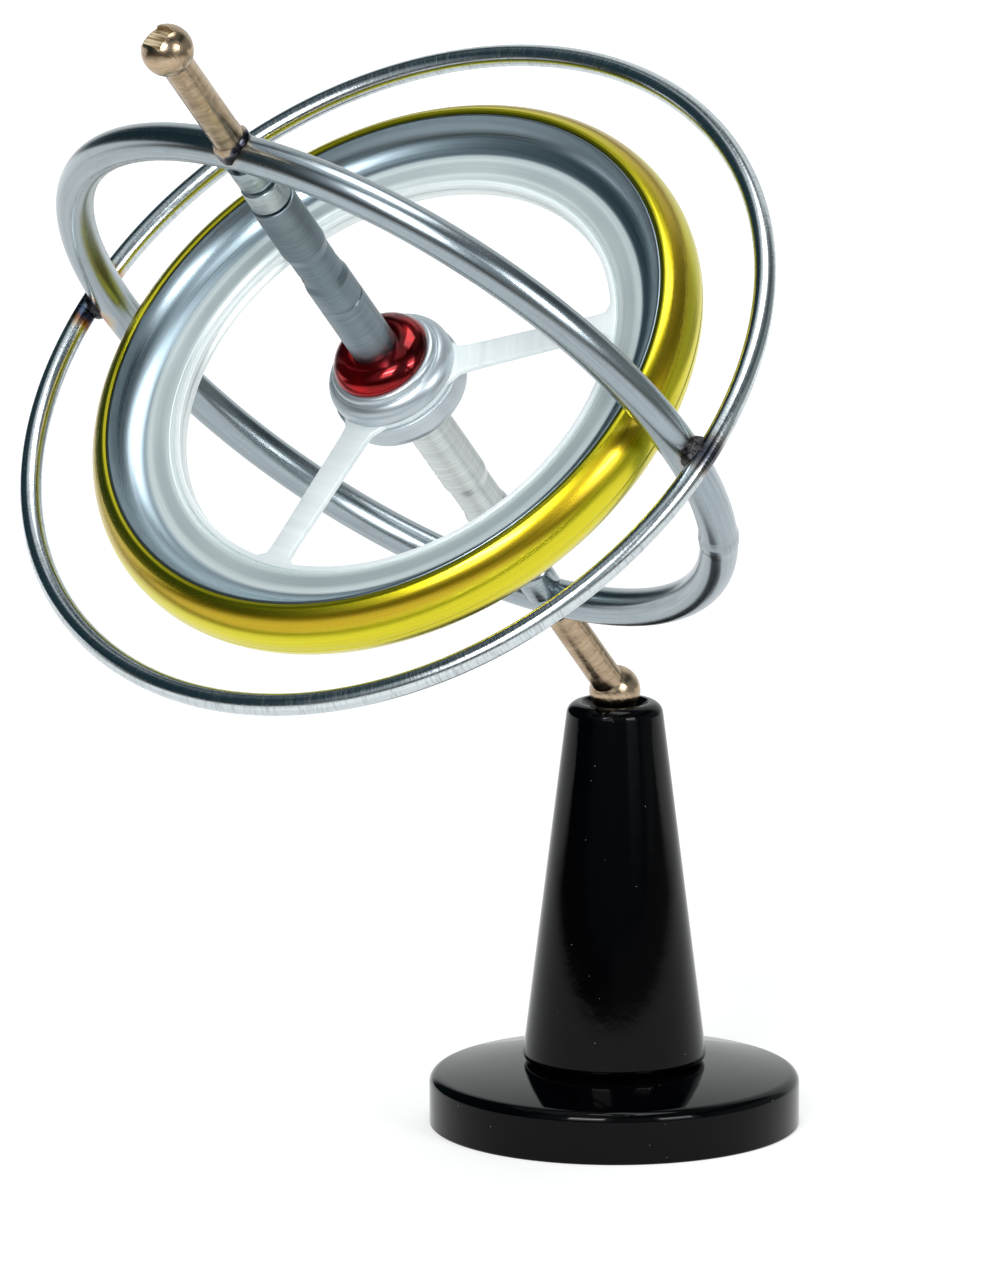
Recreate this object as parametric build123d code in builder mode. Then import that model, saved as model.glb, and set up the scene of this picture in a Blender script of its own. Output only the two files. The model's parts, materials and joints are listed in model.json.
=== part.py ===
from build123d import *
import os
from math import cos, radians, sin, sqrt

# A metal gyroscope in its two crossed rings, leaning on a turned black pedestal.
# Millimetres and degrees. The origin is the centre of the pedestal's underside, +Z is up,
# and the gyroscope leans towards -X. Heights along the axle are measured from the centre
# of the gyroscope, positive towards the upper ball.

os.makedirs("parts", exist_ok=True)

# ---------------------------------------------------------------- driving dimensions
# pedestal
base_diameter = 29.6
base_rim_height = 4.2
base_crown_rise = 0.95
base_edge_radius = 0.9
column_foot_diameter = 14.8
column_top_diameter = 7.5
column_height = 29.35
column_lip_radius = 1.0
column_foot_radius = 0.7
dish_mouth_diameter = 5.4
dish_depth = 1.25
peg_diameter = 5.0
peg_length = 2.6
peg_clearance = 0.05
peg_end_gap = 0.2
peg_chamfer = 0.3

# how the gyroscope stands on the pedestal
lean_angle = 44.2
frame_turn = -5.8
ball_seat_clearance = 0.08

# crossed rings
equator_radius = 31.5
equator_wire = 1.75
meridian_wire = 3.0
ring_joint_gap = 0.02
seam_angle = -25.0
seam_span = 3.0
seam_rise = 0.1
crossing_weld_diameter = 2.7

# pivot studs
stud_reach = 12.95
ball_diameter = 4.1
shank_diameter = 2.6
tenon_diameter = 1.4
tenon_end_gap = 0.2
slot_width = 2.0
slot_depth = 1.35
slot_reach = 0.9
slot_turn = -7.6
fitted_clearance = 0.02
stud_weld_width = 0.25
stud_weld_height = 0.4
stud_weld_skirt = 1.2

# bearings
boss_diameter = 3.1
boss_length = 2.3
boss_edge_radius = 0.7
boss_floor = 0.6
cup_mouth_diameter = 3.4
cup_root_diameter = 3.3
cup_length = 2.15
point_root_diameter = 1.9
point_tip_diameter = 0.2
point_length = 1.45
bearing_clearance = 0.06

# axle
axle_diameter = 3.7
axle_end_gap = 0.15
axle_end_chamfer = 0.15
groove_height = 10.4
groove_width = 0.22
groove_depth = 0.07
waist_diameter = 3.4
waist_start = 12.9
waist_end = 17.3
waist_slope = 0.8
string_hole_diameter = 1.0
string_hole_height = 14.5
string_hole_turn = 60.0

# hub
hub_body_diameter = 10.7
hub_body_height = 2.6
hub_body_edge_radius = 1.3
hub_collar_diameter = 10.3
hub_collar_height = 2.3
hub_collar_bulge = 0.3
hub_shoulder_inset = 0.6
hub_shoulder_height = 1.7
hub_step_inset = 0.15
hub_step_edge_radius = 0.4
hub_cap_inset = 0.42
hub_cap_height = 1.6
hub_cap_edge = 0.35
hub_cap_dome = 0.45

# flywheel, from its band inwards; heights are from the centre of the gyroscope
band_ring_clearance = 1.7
band_bulge = 1.7
band_edge_thickness = 0.4
band_edge_rise = 0.1
band_groove_height = -0.8
band_groove_width = 0.18
band_groove_depth = 0.06
rim_wall_thickness = 2.05
rim_top = 2.6
rim_bottom = -2.9
rim_cove = 0.3
rim_land_width = 0.25
ledge_width = 3.35
ledge_top = 0.45
ledge_thickness = 1.4
ledge_lip_width = 0.9
ledge_lip_drop = 1.05
web_top = 0.3
web_thickness = 0.5
web_hub_inset = 0.25
spoke_count = 3
spoke_phase = 30.0
spoke_root_width = 2.4
spoke_tip_width = 1.9

# ---------------------------------------------------------------- worked-out places
column_foot_height = base_rim_height + base_crown_rise
column_top_height = column_foot_height + column_height
ball_radius = ball_diameter / 2
pivot_height = column_top_height - dish_depth + ball_seat_clearance + ball_radius
meridian_radius = equator_radius - equator_wire / 2 - ring_joint_gap - meridian_wire / 2
ball_height = meridian_radius + stud_reach
ring_inside = meridian_radius - meridian_wire / 2
ring_outside = meridian_radius + meridian_wire / 2
boss_end = ring_inside - boss_length
cup_end = boss_end - cup_length
axle_end = cup_end - axle_end_gap
axle_radius = axle_diameter / 2
hub_bore_radius = axle_radius + fitted_clearance
band_edge_radius = ring_inside - band_ring_clearance - band_bulge
rim_seat_radius = band_edge_radius - band_edge_thickness
ledge_outer_radius = rim_seat_radius - rim_wall_thickness
ledge_inner_radius = ledge_outer_radius - ledge_width
ledge_bottom = ledge_top - ledge_thickness
hub_collar_radius = hub_collar_diameter / 2
hub_shoulder_radius = hub_collar_radius - hub_shoulder_inset
hub_step_radius = hub_shoulder_radius - hub_step_inset
hub_cap_radius = hub_step_radius - hub_cap_inset
web_bottom = web_top - web_thickness

# the axle direction, the uphill direction across the flywheel and the level direction
lean_axis = Vector(-sin(radians(lean_angle)), 0, cos(radians(lean_angle)))
uphill = Vector(cos(radians(lean_angle)), 0, sin(radians(lean_angle)))
level = Vector(0, -1, 0)
crossing_line = level * cos(radians(frame_turn)) + uphill * sin(radians(frame_turn))
pivot_point = Vector(0, 0, pivot_height)
gyro_centre = pivot_point + lean_axis * ball_height

# gyro_plane lies across the axle with x along the line through the two ring crossings;
# gyro_side holds the axle, with x the same and y up the axle
gyro_plane = Plane(origin=gyro_centre, x_dir=crossing_line, z_dir=lean_axis)
gyro_side = Plane(origin=gyro_centre, x_dir=crossing_line, z_dir=-gyro_plane.y_dir)
gyro_axis = Axis(gyro_centre, lean_axis)
ring_axis = Axis(gyro_centre, gyro_plane.y_dir)

# ---------------------------------------------------------------- pedestal
# the top of the disc rises as a low cone from its rim to the foot of the column
with BuildPart() as base_disc:
    with BuildSketch(Plane.XZ) as base_profile:
        with BuildLine():
            Polyline(
                (0, 0),
                (base_diameter / 2, 0),
                (base_diameter / 2, base_rim_height),
                (column_foot_diameter / 2, column_foot_height),
                (0, column_foot_height),
                close=True,
            )
        make_face()
        fillet(base_profile.vertices().group_by(Axis.X)[-1].sort_by(Axis.Y)[-1], base_edge_radius)
    revolve(axis=Axis.Z)
    with BuildSketch(Plane.XY.offset(column_foot_height)):
        Circle(peg_diameter / 2 + peg_clearance)
    extrude(amount=-(peg_length + peg_end_gap), mode=Mode.SUBTRACT)
base_disc.part.label = "base_disc"
export_step(base_disc.part, "parts/base_disc.step")

dish_mouth_radius = dish_mouth_diameter / 2
dish_sphere_radius = (dish_mouth_radius**2 + dish_depth**2) / (2 * dish_depth)
with BuildPart() as stand_column:
    with BuildSketch(Plane.XZ) as column_profile:
        with BuildLine():
            Polyline(
                (0, column_foot_height),
                (column_foot_diameter / 2, column_foot_height),
                (column_top_diameter / 2, column_top_height),
                (0, column_top_height),
                close=True,
            )
        make_face()
        fillet(column_profile.vertices().sort_by(Axis.X)[-1], column_foot_radius)
        fillet(column_profile.vertices().group_by(Axis.Y)[-1].sort_by(Axis.X)[-1], column_lip_radius)
    revolve(axis=Axis.Z)
    with BuildSketch(Plane.XY.offset(column_foot_height)):
        Circle(peg_diameter / 2)
    extrude(amount=-peg_length)
    chamfer(stand_column.edges().group_by(Axis.Z)[0], peg_chamfer)
    with Locations((0, 0, column_top_height - dish_depth + dish_sphere_radius)):
        Sphere(dish_sphere_radius, mode=Mode.SUBTRACT)
stand_column.part.label = "stand_column"
export_step(stand_column.part, "parts/stand_column.step")

# ---------------------------------------------------------------- rings
with BuildPart() as equator_ring:
    with BuildSketch(gyro_side):
        with Locations((equator_radius, 0)):
            Circle(equator_wire / 2)
    revolve(axis=gyro_axis)
equator_ring.part.label = "equator_ring"
export_step(equator_ring.part, "parts/equator_ring.step")

# the fat ring has a slightly proud butt seam and a radial hole at each pole for a stud's tenon
seam_start = Plane(gyro_plane.location * Rot(0, -(seam_angle - seam_span / 2), 0))
with BuildPart() as meridian_ring:
    with BuildSketch(gyro_plane):
        with Locations((meridian_radius, 0)):
            Circle(meridian_wire / 2)
    revolve(axis=ring_axis)
    with BuildSketch(seam_start):
        with Locations((meridian_radius, 0)):
            Circle(meridian_wire / 2 + seam_rise)
    revolve(axis=ring_axis, revolution_arc=-seam_span)
    with BuildSketch(gyro_plane):
        Circle(tenon_diameter / 2 + fitted_clearance)
    extrude(amount=ball_height, both=True, mode=Mode.SUBTRACT)
meridian_ring.part.label = "meridian_ring"
export_step(meridian_ring.part, "parts/meridian_ring.step")

# what the pieces that sit on the rings are cut back to
with BuildPart() as meridian_cope:
    with BuildSketch(gyro_plane):
        with Locations((meridian_radius, 0)):
            Circle(meridian_wire / 2 + fitted_clearance)
    revolve(axis=ring_axis)
with BuildPart() as equator_cope:
    with BuildSketch(gyro_side):
        with Locations((equator_radius, 0)):
            Circle(equator_wire / 2 + fitted_clearance)
    revolve(axis=gyro_axis)

# brazed fillets where the rings cross
crossing_radius = equator_radius - equator_wire / 2
for side, offset_along_line in (("right", crossing_radius), ("left", -crossing_radius)):
    with BuildPart() as crossing_weld:
        with Locations(Plane(gyro_centre + crossing_line * offset_along_line, z_dir=crossing_line)):
            Sphere(crossing_weld_diameter / 2)
        add(meridian_cope.part, mode=Mode.SUBTRACT)
        add(equator_cope.part, mode=Mode.SUBTRACT)
    crossing_weld.part.label = "crossing_weld_" + side
    export_step(crossing_weld.part, "parts/crossing_weld_" + side + ".step")

# ---------------------------------------------------------------- studs and bearings
shank_radius = shank_diameter / 2
tenon_radius = tenon_diameter / 2
tenon_tip = boss_end + boss_floor + tenon_end_gap
shank_top = ball_height - sqrt(ball_radius**2 - shank_radius**2)
weld_radius = shank_radius + stud_weld_width
point_slope = (point_root_diameter - point_tip_diameter) / 2 / point_length
recess_mouth_radius = point_root_diameter / 2 - point_slope * axle_end_gap + bearing_clearance
recess_tip_radius = point_tip_diameter / 2 + bearing_clearance
recess_tip = axle_end + point_length + bearing_clearance

for end, way in (("upper", lean_axis), ("lower", -lean_axis)):
    # pole_plane lies across the axle and faces this end's ball; pole_side holds the axle
    pole_plane = Plane(origin=gyro_centre, x_dir=crossing_line, z_dir=way)
    pole_side = Plane(origin=gyro_centre, x_dir=crossing_line, z_dir=-pole_plane.y_dir)
    pole_axis = Axis(gyro_centre, way)
    slot_floor_height = ball_height + ball_radius - slot_depth
    slot_floor = Plane(pole_plane.offset(slot_floor_height).location * Rot(0, 0, slot_turn))

    # ball on a plain shank, with a slot open on one side and a tenon that passes through the fat ring
    with BuildPart() as pivot_stud:
        with BuildSketch(pole_side):
            with BuildLine():
                Line((0, meridian_radius), (shank_radius, meridian_radius))
                Line((shank_radius, meridian_radius), (shank_radius, shank_top))
                ThreePointArc(
                    (shank_radius, shank_top),
                    (ball_radius, ball_height),
                    (0, ball_height + ball_radius),
                )
                Line((0, ball_height + ball_radius), (0, meridian_radius))
            make_face()
        revolve(axis=pole_axis)
        add(meridian_cope.part, mode=Mode.SUBTRACT)
        with BuildSketch(pole_plane.offset(tenon_tip)):
            Circle(tenon_radius)
        extrude(amount=ring_outside + shank_diameter - tenon_tip)
        with BuildSketch(slot_floor):
            with Locations((slot_reach - ball_diameter, 0)):
                Rectangle(2 * ball_diameter, slot_width)
        extrude(amount=ball_diameter, mode=Mode.SUBTRACT)
    pivot_stud.part.label = end + "_pivot_stud"
    export_step(pivot_stud.part, "parts/" + end + "_pivot_stud.step")

    # weld collar where the shank meets the fat ring
    with BuildPart() as stud_weld:
        with BuildSketch(pole_side):
            with BuildLine():
                Polyline(
                    (shank_radius + fitted_clearance, ring_outside - stud_weld_skirt),
                    (weld_radius, ring_outside - stud_weld_skirt),
                    (weld_radius, ring_outside),
                    (shank_radius + fitted_clearance, ring_outside + stud_weld_height),
                    close=True,
                )
            make_face()
        revolve(axis=pole_axis)
        add(meridian_cope.part, mode=Mode.SUBTRACT)
    stud_weld.part.label = end + "_stud_weld"
    export_step(stud_weld.part, "parts/" + end + "_stud_weld.step")

    # round boss that the tenon fastens to the inside of the ring
    with BuildPart() as bearing_boss:
        with BuildSketch(pole_plane.offset(boss_end)):
            Circle(boss_diameter / 2)
        extrude(amount=meridian_radius - boss_end)
        fillet(bearing_boss.edges().sort_by(pole_axis)[0], boss_edge_radius)
        add(meridian_cope.part, mode=Mode.SUBTRACT)
        with BuildSketch(pole_plane.offset(boss_end + boss_floor)):
            Circle(tenon_radius + fitted_clearance)
        extrude(amount=boss_length, mode=Mode.SUBTRACT)
    bearing_boss.part.label = end + "_bearing_boss"
    export_step(bearing_boss.part, "parts/" + end + "_bearing_boss.step")

    # polished cup whose cone holds the axle's point
    with BuildPart() as bearing_cup:
        with BuildSketch(pole_side):
            with BuildLine():
                Polyline(
                    (0, boss_end),
                    (cup_root_diameter / 2, boss_end),
                    (cup_mouth_diameter / 2, cup_end),
                    (recess_mouth_radius, cup_end),
                    (recess_tip_radius, recess_tip),
                    (0, recess_tip),
                    close=True,
                )
            make_face()
        revolve(axis=pole_axis)
    bearing_cup.part.label = end + "_bearing_cup"
    export_step(bearing_cup.part, "parts/" + end + "_bearing_cup.step")

# ---------------------------------------------------------------- axle
# each half has a shallow waist, and the upper waist holds the string hole
waist_radius = waist_diameter / 2
with BuildPart() as axle:
    with BuildSketch(gyro_side):
        with BuildLine():
            Polyline(
                (0, -axle_end - point_length),
                (point_tip_diameter / 2, -axle_end - point_length),
                (point_root_diameter / 2, -axle_end),
                (axle_radius - axle_end_chamfer, -axle_end),
                (axle_radius, -axle_end + axle_end_chamfer),
                (axle_radius, -waist_end),
                (waist_radius, -waist_end + waist_slope),
                (waist_radius, -waist_start - waist_slope),
                (axle_radius, -waist_start),
                (axle_radius, groove_height - groove_width / 2),
                (axle_radius - groove_depth, groove_height),
                (axle_radius, groove_height + groove_width / 2),
                (axle_radius, waist_start),
                (waist_radius, waist_start + waist_slope),
                (waist_radius, waist_end - waist_slope),
                (axle_radius, waist_end),
                (axle_radius, axle_end - axle_end_chamfer),
                (axle_radius - axle_end_chamfer, axle_end),
                (point_root_diameter / 2, axle_end),
                (point_tip_diameter / 2, axle_end + point_length),
                (0, axle_end + point_length),
                close=True,
            )
        make_face()
    revolve(axis=gyro_axis)
    with BuildSketch(Plane(gyro_side.location * Rot(0, string_hole_turn + 90, 0))):
        with Locations((0, string_hole_height)):
            Circle(string_hole_diameter / 2)
    extrude(amount=axle_diameter, both=True, mode=Mode.SUBTRACT)
axle.part.label = "axle"
export_step(axle.part, "parts/axle.step")

# ---------------------------------------------------------------- hub
hub_body_radius = hub_body_diameter / 2
hub_body_bottom = web_bottom - hub_body_height
with BuildPart() as hub_body:
    with BuildSketch(gyro_side):
        with BuildLine():
            Polyline(
                (hub_bore_radius, web_bottom),
                (hub_body_radius, web_bottom),
                (hub_body_radius, hub_body_bottom),
                (hub_bore_radius, hub_body_bottom),
                close=True,
            )
        make_face()
    revolve(axis=gyro_axis)
    bottom_circles = hub_body.edges().filter_by(GeomType.CIRCLE).group_by(gyro_axis)[0]
    fillet(bottom_circles.sort_by(SortBy.RADIUS)[-1], hub_body_edge_radius)
hub_body.part.label = "hub_body"
export_step(hub_body.part, "parts/hub_body.step")

hub_collar_top = web_top + hub_collar_height
hub_shoulder = web_top + hub_shoulder_height
with BuildPart() as hub_collar:
    with BuildSketch(gyro_side):
        with BuildLine():
            Line((hub_bore_radius, web_top), (hub_collar_radius, web_top))
            SagittaArc(
                (hub_collar_radius, web_top),
                (hub_shoulder_radius, hub_shoulder),
                -hub_collar_bulge,
            )
            Polyline(
                (hub_shoulder_radius, hub_shoulder),
                (hub_step_radius, hub_shoulder),
                (hub_step_radius, hub_collar_top - hub_step_edge_radius),
            )
            RadiusArc(
                (hub_step_radius, hub_collar_top - hub_step_edge_radius),
                (hub_step_radius - hub_step_edge_radius, hub_collar_top),
                -hub_step_edge_radius,
            )
            Polyline(
                (hub_step_radius - hub_step_edge_radius, hub_collar_top),
                (hub_bore_radius, hub_collar_top),
                (hub_bore_radius, web_top),
            )
        make_face()
    revolve(axis=gyro_axis)
hub_collar.part.label = "hub_collar"
export_step(hub_collar.part, "parts/hub_collar.step")

hub_cap_top = hub_collar_top + hub_cap_height
with BuildPart() as hub_cap:
    with BuildSketch(gyro_side):
        with BuildLine():
            Polyline(
                (hub_bore_radius, hub_cap_top),
                (hub_bore_radius, hub_collar_top),
                (hub_cap_radius, hub_collar_top),
                (hub_cap_radius, hub_collar_top + hub_cap_edge),
            )
            SagittaArc(
                (hub_cap_radius, hub_collar_top + hub_cap_edge),
                (hub_bore_radius, hub_cap_top),
                -hub_cap_dome,
            )
        make_face()
    revolve(axis=gyro_axis)
hub_cap.part.label = "hub_cap"
export_step(hub_cap.part, "parts/hub_cap.step")

# ---------------------------------------------------------------- flywheel
spoke_length = ledge_inner_radius + ledge_lip_width
with BuildPart() as flywheel:
    with BuildSketch(gyro_side):
        with BuildLine():
            Polyline(
                (ledge_outer_radius, ledge_bottom),
                (ledge_inner_radius, ledge_bottom),
                (ledge_inner_radius, ledge_top - ledge_lip_drop),
                (ledge_inner_radius + ledge_lip_width, ledge_top),
                (ledge_outer_radius, ledge_top),
            )
            SagittaArc(
                (ledge_outer_radius, ledge_top),
                (rim_seat_radius - rim_land_width, rim_top),
                -rim_cove,
            )
            Polyline(
                (rim_seat_radius - rim_land_width, rim_top),
                (rim_seat_radius, rim_top),
                (rim_seat_radius, rim_bottom),
                (rim_seat_radius - rim_land_width, rim_bottom),
            )
            SagittaArc(
                (rim_seat_radius - rim_land_width, rim_bottom),
                (ledge_outer_radius, ledge_bottom),
                -rim_cove,
            )
        make_face()
    revolve(axis=gyro_axis)
    with BuildSketch(gyro_plane.offset(web_bottom)):
        Circle(hub_collar_radius - web_hub_inset)
        with PolarLocations(0, spoke_count, start_angle=spoke_phase):
            Polygon(
                (0, -spoke_root_width / 2),
                (spoke_length, -spoke_tip_width / 2),
                (spoke_length, spoke_tip_width / 2),
                (0, spoke_root_width / 2),
                align=None,
            )
        Circle(hub_bore_radius, mode=Mode.SUBTRACT)
    extrude(amount=web_thickness)
flywheel.part.label = "flywheel"
export_step(flywheel.part, "parts/flywheel.step")

# coloured band pressed round the flywheel, bulging outwards, with one fine turned groove
band_half_height = (rim_top - rim_bottom) / 2 + band_edge_rise
band_middle = (rim_top + rim_bottom) / 2
band_arc_radius = (band_half_height**2 + band_bulge**2) / (2 * band_bulge)
band_arc_centre = band_edge_radius + band_bulge - band_arc_radius
band_groove_radius = band_arc_centre + sqrt(
    band_arc_radius**2 - (band_groove_height - band_middle) ** 2
)
band_bore_radius = rim_seat_radius + fitted_clearance
with BuildPart() as rim_band:
    with BuildSketch(gyro_side):
        with BuildLine():
            Polyline(
                (band_edge_radius, rim_bottom - band_edge_rise),
                (band_bore_radius, rim_bottom),
                (band_bore_radius, rim_top),
                (band_edge_radius, rim_top + band_edge_rise),
            )
            ThreePointArc(
                (band_edge_radius, rim_top + band_edge_rise),
                (band_edge_radius + band_bulge, band_middle),
                (band_edge_radius, rim_bottom - band_edge_rise),
            )
        make_face()
        with Locations((band_groove_radius + band_groove_width / 2 - band_groove_depth, band_groove_height)):
            Circle(band_groove_width / 2, mode=Mode.SUBTRACT)
    revolve(axis=gyro_axis)
rim_band.part.label = "rim_band"
export_step(rim_band.part, "parts/rim_band.step")
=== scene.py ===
import json
from math import acos, cos, pi, radians, sin

import bmesh
import bpy
from mathutils import Matrix, Vector, noise


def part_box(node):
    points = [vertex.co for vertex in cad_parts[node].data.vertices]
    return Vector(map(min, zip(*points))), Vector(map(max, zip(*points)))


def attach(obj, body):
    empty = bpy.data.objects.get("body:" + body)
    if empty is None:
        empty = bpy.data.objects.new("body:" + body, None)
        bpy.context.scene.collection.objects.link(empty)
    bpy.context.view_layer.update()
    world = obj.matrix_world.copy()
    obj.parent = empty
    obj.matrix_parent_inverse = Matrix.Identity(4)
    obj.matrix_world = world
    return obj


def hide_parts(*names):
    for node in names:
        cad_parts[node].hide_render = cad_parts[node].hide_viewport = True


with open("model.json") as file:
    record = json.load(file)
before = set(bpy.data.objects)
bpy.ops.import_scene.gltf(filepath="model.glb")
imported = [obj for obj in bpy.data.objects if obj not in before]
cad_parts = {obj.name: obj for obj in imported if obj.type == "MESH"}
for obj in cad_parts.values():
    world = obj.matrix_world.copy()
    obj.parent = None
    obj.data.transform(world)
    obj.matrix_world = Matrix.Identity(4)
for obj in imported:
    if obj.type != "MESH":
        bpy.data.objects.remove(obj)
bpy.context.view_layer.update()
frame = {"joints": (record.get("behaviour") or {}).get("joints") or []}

# A metal gyroscope in two crossed rings, leaning on a turned black pedestal.
# Shapes are written in millimetres in the frame of the piece they belong to, and put in their
# place in metres. Heights along the axle are measured from the centre of the gyroscope,
# positive towards the upper ball.

# ------------------------------------------------------------------ places, from the frame
MM = 0.001
joints = {joint["name"]: joint for joint in frame["joints"]}
gyro_centre = Vector(joints["rotor_spin"]["pos_m"])
axle_way = Vector(joints["rotor_spin"]["axis"]).normalized()
pivot_point = Vector(joints["frame_lean"]["pos_m"])


def middle_of(node):
    low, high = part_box(node)
    return (low + high) / 2


def place(origin, x_way, z_way):
    """The matrix from millimetres in a piece's own frame to metres in the row frame."""
    z_axis = z_way.normalized()
    x_axis = (x_way - z_axis * x_way.dot(z_axis)).normalized()
    turned = Matrix((x_axis, z_axis.cross(x_axis), z_axis)).transposed()
    return Matrix.Translation(origin) @ turned.to_4x4() @ Matrix.Scale(MM, 4)


crossing_way = middle_of("crossing_weld_right") - middle_of("crossing_weld_left")
UPPER = place(gyro_centre, crossing_way, axle_way)
LOWER = place(gyro_centre, crossing_way, -axle_way)
RING = place(gyro_centre, crossing_way, axle_way.cross(crossing_way))
STAND = Matrix.Scale(MM, 4)

# ------------------------------------------------------------------ sizes, millimetres
equator_radius = 31.5
equator_wire = 0.875
meridian_radius = 29.105
meridian_wire = 1.5
ring_inside = meridian_radius - meridian_wire
ring_outside = meridian_radius + meridian_wire
seam_angle = 25.0
ball_height = 42.055
ball_radius = 2.05
shank_radius = 1.3
slot_floor = ball_height + 0.7
boss_end = 25.305
cup_end = 23.155
axle_end = 23.005
axle_tip = 24.455
axle_radius = 1.85
waist_radius = 1.7
cone_mouth = 0.95


# ------------------------------------------------------------------ mesh helpers
def rounded(corners, steps=7):
    """A path through (r, z) corners; a third number rounds that corner with that radius."""
    path = []
    for i, corner in enumerate(corners):
        here = Vector(corner[:2])
        if len(corner) == 2 or i in (0, len(corners) - 1):
            path.append(here)
            continue
        before = (Vector(corners[i - 1][:2]) - here).normalized()
        after = (Vector(corners[i + 1][:2]) - here).normalized()
        half = acos(max(-1.0, min(1.0, before.dot(after)))) / 2
        radius = corner[2]
        reach = radius * cos(half) / sin(half)
        centre = here + (before + after).normalized() * (radius / sin(half))
        first = here + before * reach - centre
        last = here + after * reach - centre
        turn = first.angle_signed(last)
        for step in range(steps + 1):
            spun = Matrix.Rotation(-turn * step / steps, 2) @ first
            path.append(centre + spun)
    return path


def bowed(start, end, bulge, steps=24):
    """A circular arc from start to end that stands proud of the chord by bulge, to its left, or
    to its right where bulge is negative."""
    a, b = Vector(start), Vector(end)
    chord = b - a
    half = chord.length / 2
    radius = (half * half + bulge * bulge) / (2 * abs(bulge))
    proud_way = Vector((-chord.y, chord.x)).normalized() * (1 if bulge > 0 else -1)
    centre = (a + b) / 2 + proud_way * (abs(bulge) - radius)
    first = a - centre
    turn = first.angle_signed(b - centre)
    return [centre + Matrix.Rotation(-turn * i / steps, 2) @ first for i in range(steps + 1)]


def new_object(name, verts, faces):
    mesh = bpy.data.meshes.new(name)
    mesh.from_pydata([tuple(v) for v in verts], [], faces)
    obj = bpy.data.objects.new(name, mesh)
    bpy.context.scene.collection.objects.link(obj)
    return obj


def lathe(name, path, turns=192):
    """Revolves an open (r, z) path whose ends lie on the axis, or a closed one, about Z."""
    points = [Vector(p) for p in path]
    closed = points[0].x > 1e-6 and points[-1].x > 1e-6
    verts, rows = [], []
    for p in points:
        if p.x < 1e-6:
            rows.append([len(verts)] * turns)
            verts.append((0.0, 0.0, p.y))
            continue
        rows.append(list(range(len(verts), len(verts) + turns)))
        for i in range(turns):
            angle = 2 * pi * i / turns
            verts.append((p.x * cos(angle), p.x * sin(angle), p.y))
    faces = []
    count = len(rows)
    for i in range(count if closed else count - 1):
        one, two = rows[i], rows[(i + 1) % count]
        for j in range(turns):
            k = (j + 1) % turns
            corners = []
            for v in (one[j], one[k], two[k], two[j]):
                if v not in corners:
                    corners.append(v)
            if len(corners) > 2:
                faces.append(corners)
    return new_object(name, verts, faces)


def torus(name, radius, wire, turns, around, swell=None):
    """A wire ring about Z; swell(angle in degrees) gives what is added to the wire's radius."""
    verts, faces = [], []
    for i in range(turns):
        angle = 2 * pi * i / turns
        extra = swell(360 * i / turns) if swell else 0.0
        for j in range(around):
            tilt = 2 * pi * j / around
            reach = radius + (wire + extra) * cos(tilt)
            verts.append((reach * cos(angle), reach * sin(angle), (wire + extra) * sin(tilt)))
    for i in range(turns):
        for j in range(around):
            k, m = (i + 1) % turns, (j + 1) % around
            faces.append((i * around + j, k * around + j, k * around + m, i * around + m))
    return new_object(name, verts, faces)


def modified(obj, *settings):
    """Adds modifiers as (type, {property: value}) and applies them to the mesh."""
    for kind, values in settings:
        modifier = obj.modifiers.new(kind.lower(), kind)
        for key, value in values.items():
            setattr(modifier, key, value)
    seen = obj.evaluated_get(bpy.context.evaluated_depsgraph_get())
    mesh = bpy.data.meshes.new_from_object(seen)
    obj.modifiers.clear()
    obj.data = mesh
    return obj


def outward(obj):
    """Welds the mesh and turns its faces outwards."""
    shaped = bmesh.new()
    shaped.from_mesh(obj.data)
    bmesh.ops.remove_doubles(shaped, verts=shaped.verts, dist=1e-5)
    bmesh.ops.recalc_face_normals(shaped, faces=shaped.faces)
    shaped.to_mesh(obj.data)
    shaped.free()
    return obj


def cut_away(obj, cutter):
    outward(obj)
    outward(cutter)
    modified(obj, ("BOOLEAN", {"operation": "DIFFERENCE", "solver": "EXACT", "object": cutter}))
    bpy.data.objects.remove(cutter)
    return obj


def soften(obj, width, segments, sharper_than):
    """Bevels the edges that turn by more than the given angle in degrees."""
    bevel = {
        "width": width,
        "segments": segments,
        "limit_method": "ANGLE",
        "angle_limit": radians(sharper_than),
    }
    return modified(obj, ("BEVEL", bevel))


def block(name, low, high):
    xs, ys, zs = zip(low, high)
    verts = [(x, y, z) for x in xs for y in ys for z in zs]
    faces = [(0, 1, 3, 2), (4, 6, 7, 5), (0, 4, 5, 1), (2, 3, 7, 6), (0, 2, 6, 4), (1, 5, 7, 3)]
    return new_object(name, verts, faces)


def roughened(obj, size, depth, seed):
    """Moves each vertex along its normal by smooth noise, as weld metal or a dent does."""
    shift = Vector((seed * 7.3, seed * 3.1, seed * 5.7))
    mesh = obj.data
    normals = [v.normal.copy() for v in mesh.vertices]
    for v, normal in zip(mesh.vertices, normals):
        v.co += normal * depth * noise.fractal(v.co / size + shift, 0.6, 2.0, 3)
    return obj


def put(obj, where, body, node, material, sharp=35.0):
    """Closes a piece: outward normals, smooth shading, its place, body, CAD node and finish."""
    outward(obj)
    obj.data.transform(where)
    for polygon in obj.data.polygons:
        polygon.use_smooth = True
    obj.data.set_sharp_from_angle(angle=radians(sharp))
    obj.data.materials.clear()
    obj.data.materials.append(material)
    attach(obj, body)
    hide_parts(node)
    return obj


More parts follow.
